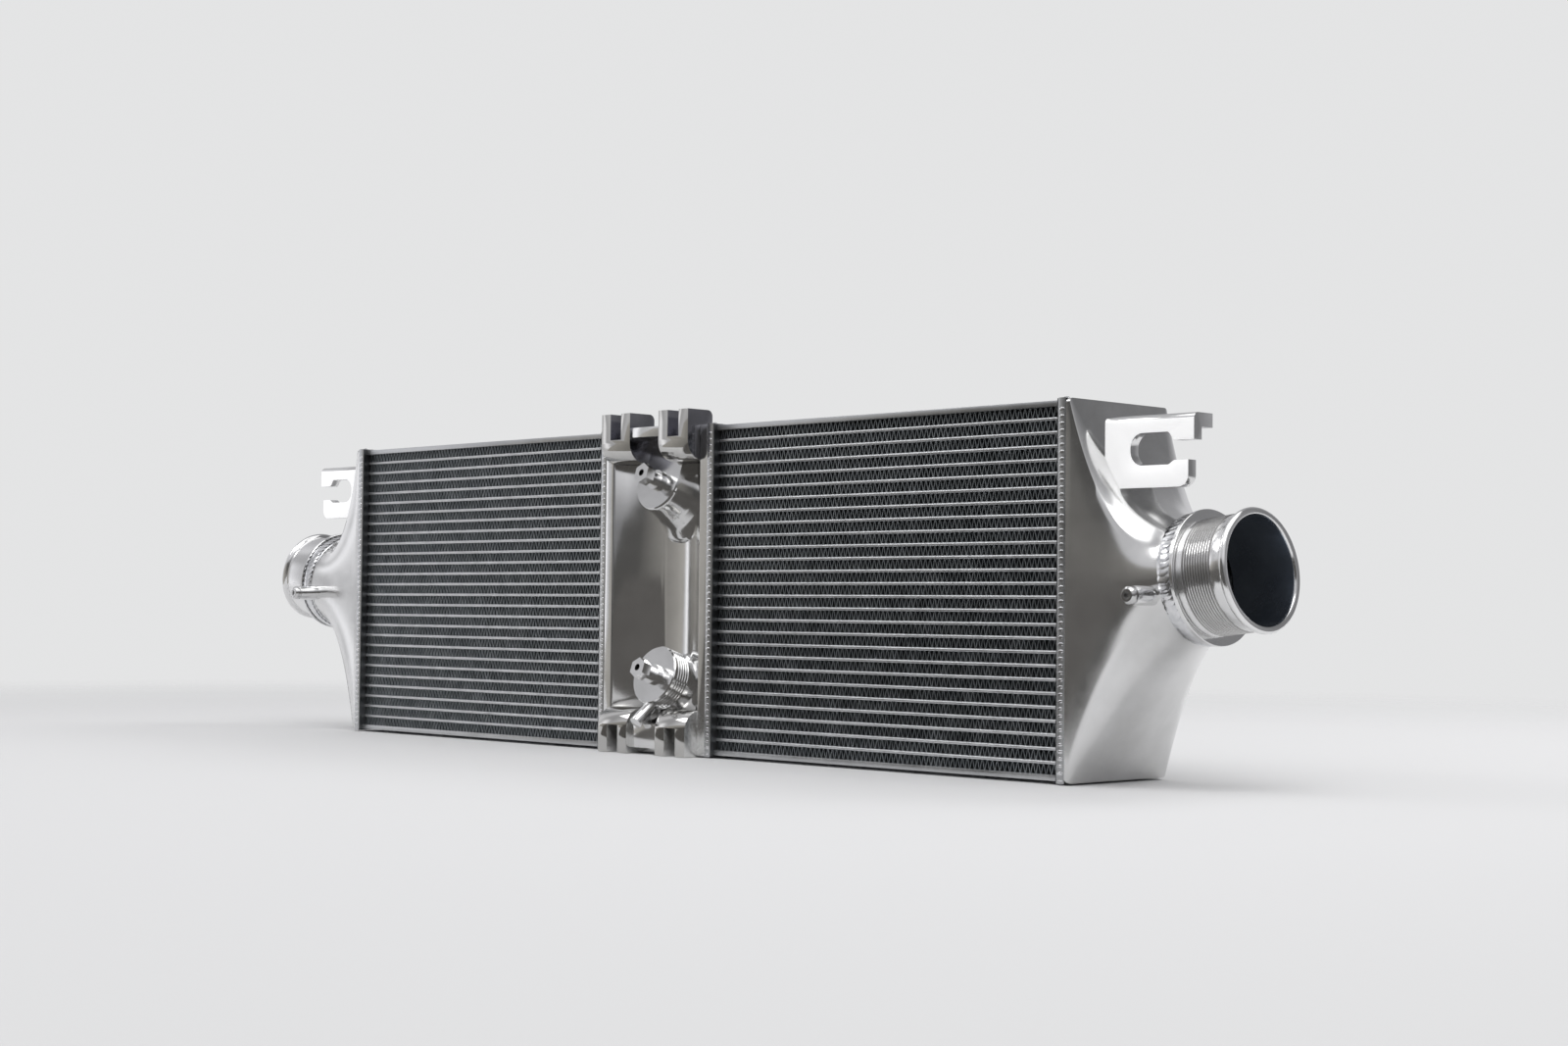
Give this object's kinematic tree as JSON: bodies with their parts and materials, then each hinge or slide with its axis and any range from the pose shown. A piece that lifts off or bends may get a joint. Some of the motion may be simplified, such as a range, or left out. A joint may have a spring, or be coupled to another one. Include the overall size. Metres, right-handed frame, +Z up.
{
  "type": "intercooler",
  "caption": "Twin-core air-to-air intercooler: flat-tube cores either side of a concave centre tank, cast end tanks with turned hose necks, hook brackets and fork mounts.",
  "frame": {"origin": "below the middle of the centre tank, in the plane of the lower forks' feet", "axes": "+X along the cores to the right end, +Y to the rear, +Z up"},
  "size_m": [1.1068, 0.1857, 0.272],
  "materials": {
    "core_tube": "drawn flat tube, satin",
    "core_fin": "folded foil, grey in its own shadow",
    "plate": "rolled sheet, satin",
    "tank": "hand polished casting",
    "turned": "turned, bright",
    "machined": "milled, bright",
    "weld": "rippled weld bead, bright",
    "fitting": "turned and milled, bright",
    "screw": "dark steel"
  },
  "bodies": {
    "root": {"right_core_tubes": "core_tube", "right_core_fins": "core_fin", "right_core_bottom_plate": "plate", "right_core_top_plate": "plate", "right_inner_header": "plate", "right_outer_header": "plate", "right_inner_weld": "weld", "right_outer_weld": "weld", "right_end_tank": "tank", "right_neck": "turned", "right_neck_weld": "weld", "right_hook_bracket": "machined", "right_screw_boss": "machined", "right_boss_screw": "screw", "left_core_tubes": "core_tube", "left_core_fins": "core_fin", "left_core_bottom_plate": "plate", "left_core_top_plate": "plate", "left_inner_header": "plate", "left_outer_header": "plate", "left_inner_weld": "weld", "left_outer_weld": "weld", "left_end_tank": "tank", "left_neck": "turned", "left_neck_weld": "weld", "left_hook_bracket": "machined", "left_screw_boss": "machined", "left_boss_screw": "screw", "centre_tank": "tank", "upper_right_fork": "machined", "lower_right_fork": "machined", "upper_left_fork": "machined", "lower_left_fork": "machined", "upper_port_boss": "machined", "lower_port_boss": "machined", "upper_port_fitting": "fitting", "lower_port_fitting": "fitting", "drain_stub": "fitting", "outlet_neck": "turned", "outlet_neck_weld": "weld"}
  },
  "joints": []
}
